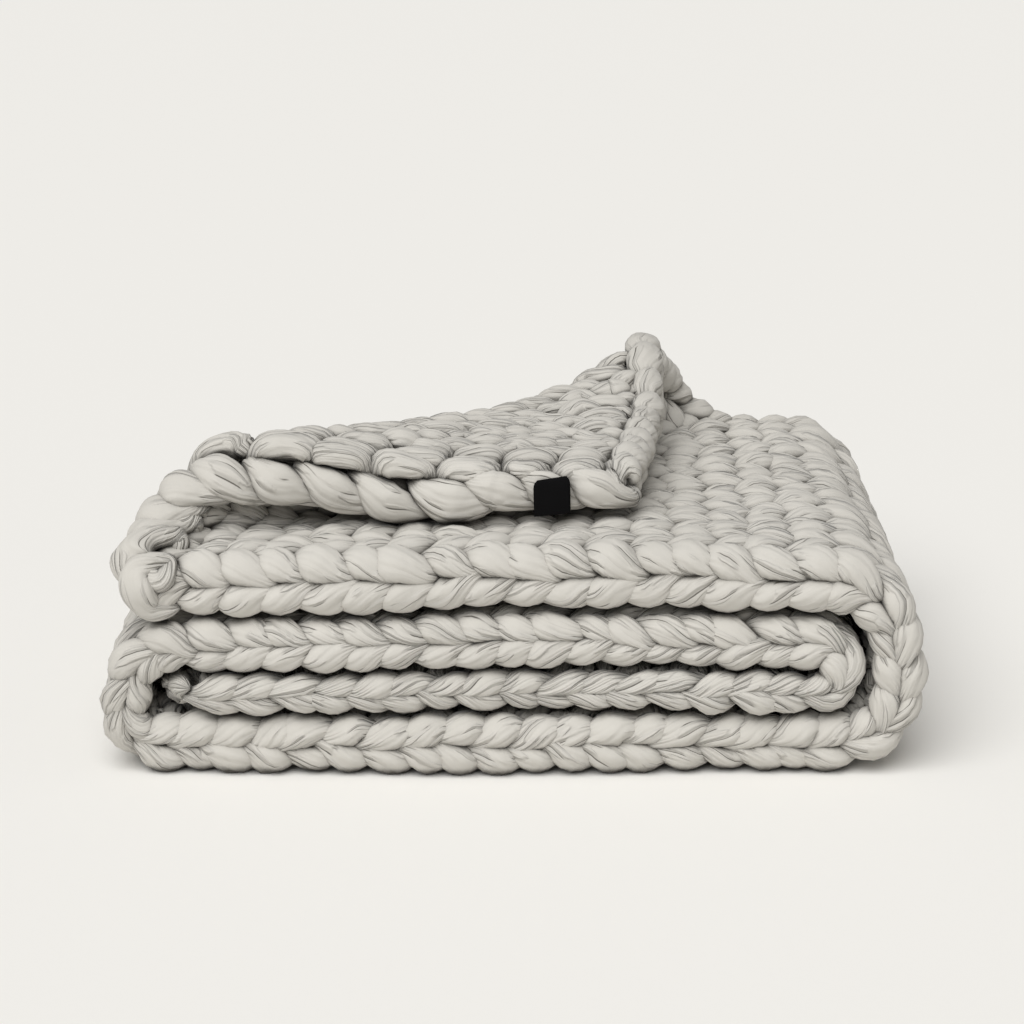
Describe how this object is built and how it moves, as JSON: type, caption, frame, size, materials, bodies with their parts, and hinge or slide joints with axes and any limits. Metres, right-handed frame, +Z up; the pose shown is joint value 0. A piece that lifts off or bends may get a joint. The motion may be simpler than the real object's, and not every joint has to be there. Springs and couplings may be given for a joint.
{
  "type": "folded knitted weighted blanket",
  "caption": "Thick hand-knitted weighted blanket, folded into a flat stack with one corner of the top layer turned over towards the front.",
  "frame": {"origin": "middle of the folded stack's footprint, on the surface it rests on", "axes": "+X along the stack's length, to the right as seen from the front; -Y towards the front, where the edges of the layers show; +Z up"},
  "size_m": [0.6095, 0.4017, 0.2543],
  "materials": {
    "knitted_cotton": "matte knitted cotton jersey tube, pale warm grey",
    "label_cloth": "matte black woven tape, blank"
  },
  "bodies": {
    "root": {"blanket": "knitted_cotton", "label": "label_cloth"}
  },
  "joints": []
}
